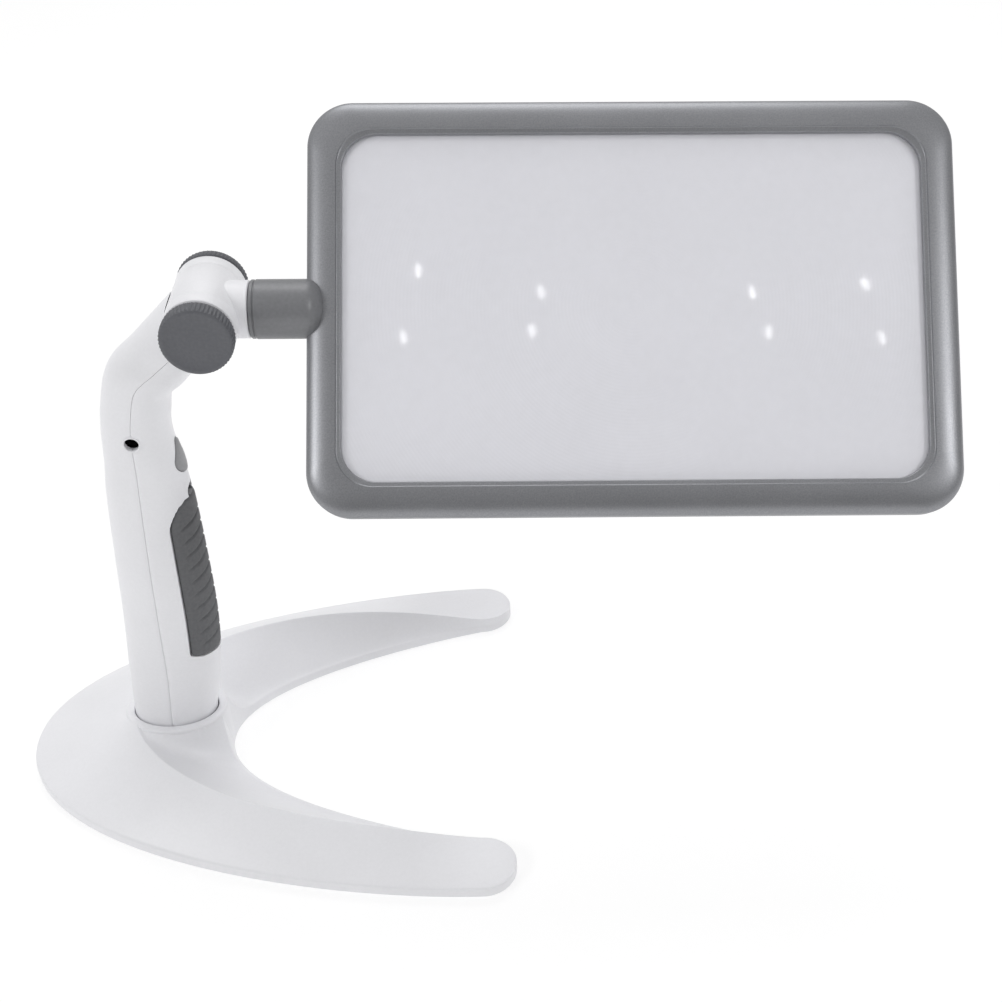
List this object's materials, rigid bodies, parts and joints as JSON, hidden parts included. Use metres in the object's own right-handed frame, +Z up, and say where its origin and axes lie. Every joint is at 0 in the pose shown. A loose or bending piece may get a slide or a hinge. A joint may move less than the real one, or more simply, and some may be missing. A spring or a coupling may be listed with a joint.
{
  "type": "low vision magnifier",
  "caption": "Full-page reading magnifier: a crescent base, a lift-out handle, a clamped hinge and a swivelling rectangular lens frame with lights along its short sides.",
  "frame": {"origin": "on the table, below the middle of the whole object's bounding box", "axes": "+Z up; +X from the back of the base towards the lens frame; +Y across, towards the page side of the tilted lens's upper edge"},
  "size_m": [0.3478, 0.1666, 0.2517],
  "materials": {
    "white_plastic": "satin",
    "grey_plastic": "satin",
    "knob_plastic": "ribbed matte",
    "grip_rubber": "ribbed matte",
    "control_plastic": "satin",
    "silver_paint": "silver paint, satin",
    "lens_plastic": "clear, finely grooved",
    "steel": "plain",
    "iron": "as cast",
    "foot_rubber": "matte",
    "circuit_green": "board",
    "led_white": "clear cap",
    "black_plastic": "plain",
    "cell_wrap": "printed wrap, left plain"
  },
  "bodies": {
    "base": {"base_shell": "white_plastic", "base_weight": "iron", "base_plate": "white_plastic", "base_foot_1": "foot_rubber", "base_foot_2": "foot_rubber", "base_foot_3": "foot_rubber", "base_foot_4": "foot_rubber", "base_screw_1": "steel", "base_screw_2": "steel", "base_screw_3": "steel"},
    "handle": {"handle_front_shell": "white_plastic", "handle_back_shell": "white_plastic", "handle_end_cap": "white_plastic", "grip_pad": "grip_rubber", "shell_screw_lower": "steel", "shell_screw_upper": "steel", "battery_cell_1": "cell_wrap", "battery_cell_2": "cell_wrap", "battery_tube": "black_plastic", "cell_contact": "steel", "cell_spring": "steel", "circuit_board": "circuit_green", "press_switch": "black_plastic", "power_jack": "black_plastic", "hinge_bolt": "steel", "front_washer": "steel", "rear_washer": "steel"},
    "light_button": {"light_button": "control_plastic"},
    "brightness_slide": {"brightness_slide": "control_plastic"},
    "arm": {"arm_knuckle": "white_plastic", "swivel_axle": "steel", "swivel_washer": "steel", "swivel_nut": "steel"},
    "front_knob": {"front_knob": "knob_plastic"},
    "rear_knob": {"rear_knob": "knob_plastic"},
    "lens_head": {"swivel_sleeve": "grey_plastic", "frame_front_rim": "silver_paint", "frame_back_rim": "silver_paint", "fresnel_lens": "lens_plastic", "frame_screw_1": "steel", "frame_screw_2": "steel", "frame_screw_3": "steel", "frame_screw_4": "steel", "sleeve_screw_1": "steel", "sleeve_screw_2": "steel", "light_board_left_upper": "circuit_green", "light_board_left_lower": "circuit_green", "light_board_right_upper": "circuit_green", "light_board_right_lower": "circuit_green", "light_1": "led_white", "light_2": "led_white", "light_3": "led_white", "light_4": "led_white", "light_5": "led_white", "light_6": "led_white", "light_7": "led_white", "light_8": "led_white"}
  },
  "joints": [
    {"name": "handle_lift", "type": "slide", "parent": "base", "child": "handle", "axis": [0, 0, 1], "range_m": [0, 0.016]},
    {"name": "arm_lift", "type": "hinge", "parent": "handle", "child": "arm", "pos_m": [-0.07387, 0, 0.2], "axis": [0, 1, 0], "range_deg": [-90, 20]},
    {"name": "lens_tilt", "type": "hinge", "parent": "arm", "child": "lens_head", "pos_m": [-0.07387, 0, 0.2], "axis": [0.999, 0, -0.044], "range_deg": [-48, 132]},
    {"name": "front_knob_turn", "type": "hinge", "parent": "handle", "child": "front_knob", "pos_m": [-0.07387, -0.0185, 0.2], "axis": [0, -1, 0], "range_deg": [-180, 180]},
    {"name": "rear_knob_turn", "type": "hinge", "parent": "handle", "child": "rear_knob", "pos_m": [-0.07387, 0.0173, 0.2], "axis": [0, 1, 0], "range_deg": [-180, 180]},
    {"name": "light_button_press", "type": "slide", "parent": "handle", "child": "light_button", "axis": [-1, 0, 0], "range_m": [0, 0.0008], "stiffness_N_per_m": 600, "springref_m": -0.0008},
    {"name": "brightness_slide_move", "type": "slide", "parent": "handle", "child": "brightness_slide", "axis": [0, 0, 1], "range_m": [0, 0.003]}
  ]
}
